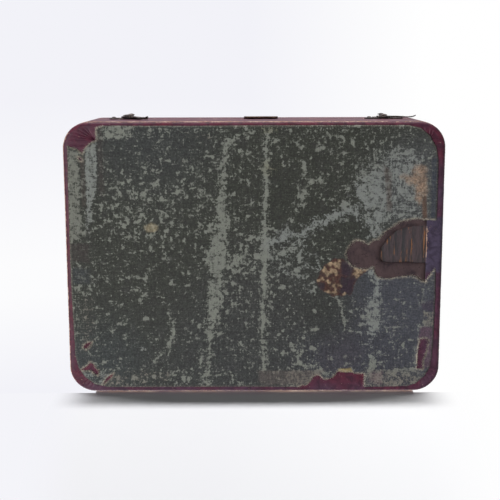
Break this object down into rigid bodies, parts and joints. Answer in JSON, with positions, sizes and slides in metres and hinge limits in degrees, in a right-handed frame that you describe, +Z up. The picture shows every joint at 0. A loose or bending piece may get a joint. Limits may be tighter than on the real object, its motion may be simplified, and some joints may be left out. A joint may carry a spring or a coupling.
{
  "type": "snuff box",
  "caption": "Small rectangular leather-covered box with rounded corners, a hinged lid held by swing hooks, a pull tab, a lined inside and a worn paper underside.",
  "frame": {"origin": "middle of the underside, on the face that the box rests on", "axes": "+Z up through the lid, +X along the long side, -Y towards the front edge with the hooks, +Y towards the hinges"},
  "size_m": [0.116, 0.0861, 0.036],
  "materials": {
    "leather_maroon": "long-grain goat leather, worn to tan at the arrises",
    "tab_leather": "dark smooth leather",
    "paper_grey": "dark grey-green lining paper, abraded and torn",
    "card_brown": "smooth brown card",
    "carcass_wood": "plain thin softwood",
    "liner_velvet": "short silk velvet",
    "lid_satin": "aged cream satin",
    "brass_dark": "blackened brass, rubbed bright on the high points",
    "brass_pin": "drawn brass wire"
  },
  "bodies": {
    "base": {"base_leather": "leather_maroon", "base_wall_band": "carcass_wood", "base_floor_board": "carcass_wood", "base_infill_card": "card_brown", "base_bottom_paper": "paper_grey", "base_liner_band": "liner_velvet", "base_floor_pad": "liner_velvet", "hinge_base_nails": "brass_pin", "catch_plate_nails": "brass_dark", "left_hinge_base_leaf": "brass_dark", "left_hinge_pin": "brass_pin", "left_catch_plate": "brass_dark", "left_catch_pivot": "brass_dark", "right_hinge_base_leaf": "brass_dark", "right_hinge_pin": "brass_pin", "right_catch_plate": "brass_dark", "right_catch_pivot": "brass_dark"},
    "lid": {"lid_leather": "leather_maroon", "lid_wall_band": "carcass_wood", "lid_top_board": "carcass_wood", "lid_liner_band": "lid_satin", "lid_pad": "lid_satin", "pull_tab": "tab_leather", "hinge_lid_nails": "brass_pin", "left_hinge_lid_leaf": "brass_dark", "left_keeper_plate": "brass_dark", "left_keeper_stud": "brass_dark", "right_hinge_lid_leaf": "brass_dark", "right_keeper_plate": "brass_dark", "right_keeper_stud": "brass_dark"},
    "left_hook": {"left_hook": "brass_dark"},
    "right_hook": {"right_hook": "brass_dark"}
  },
  "joints": [
    {"name": "lid_hinge", "type": "hinge", "parent": "base", "child": "lid", "pos_m": [0, 0.0412, 0.024], "axis": [-1, 0, 0], "range_deg": [0, 98]},
    {"name": "left_hook_swing", "type": "hinge", "parent": "base", "child": "left_hook", "pos_m": [-0.0401, -0.0422, 0.0204], "axis": [0, -1, 0], "range_deg": [-44, 136]},
    {"name": "right_hook_swing", "type": "hinge", "parent": "base", "child": "right_hook", "pos_m": [0.0416, -0.0422, 0.0204], "axis": [0, -1, 0], "range_deg": [-90, 90]}
  ]
}
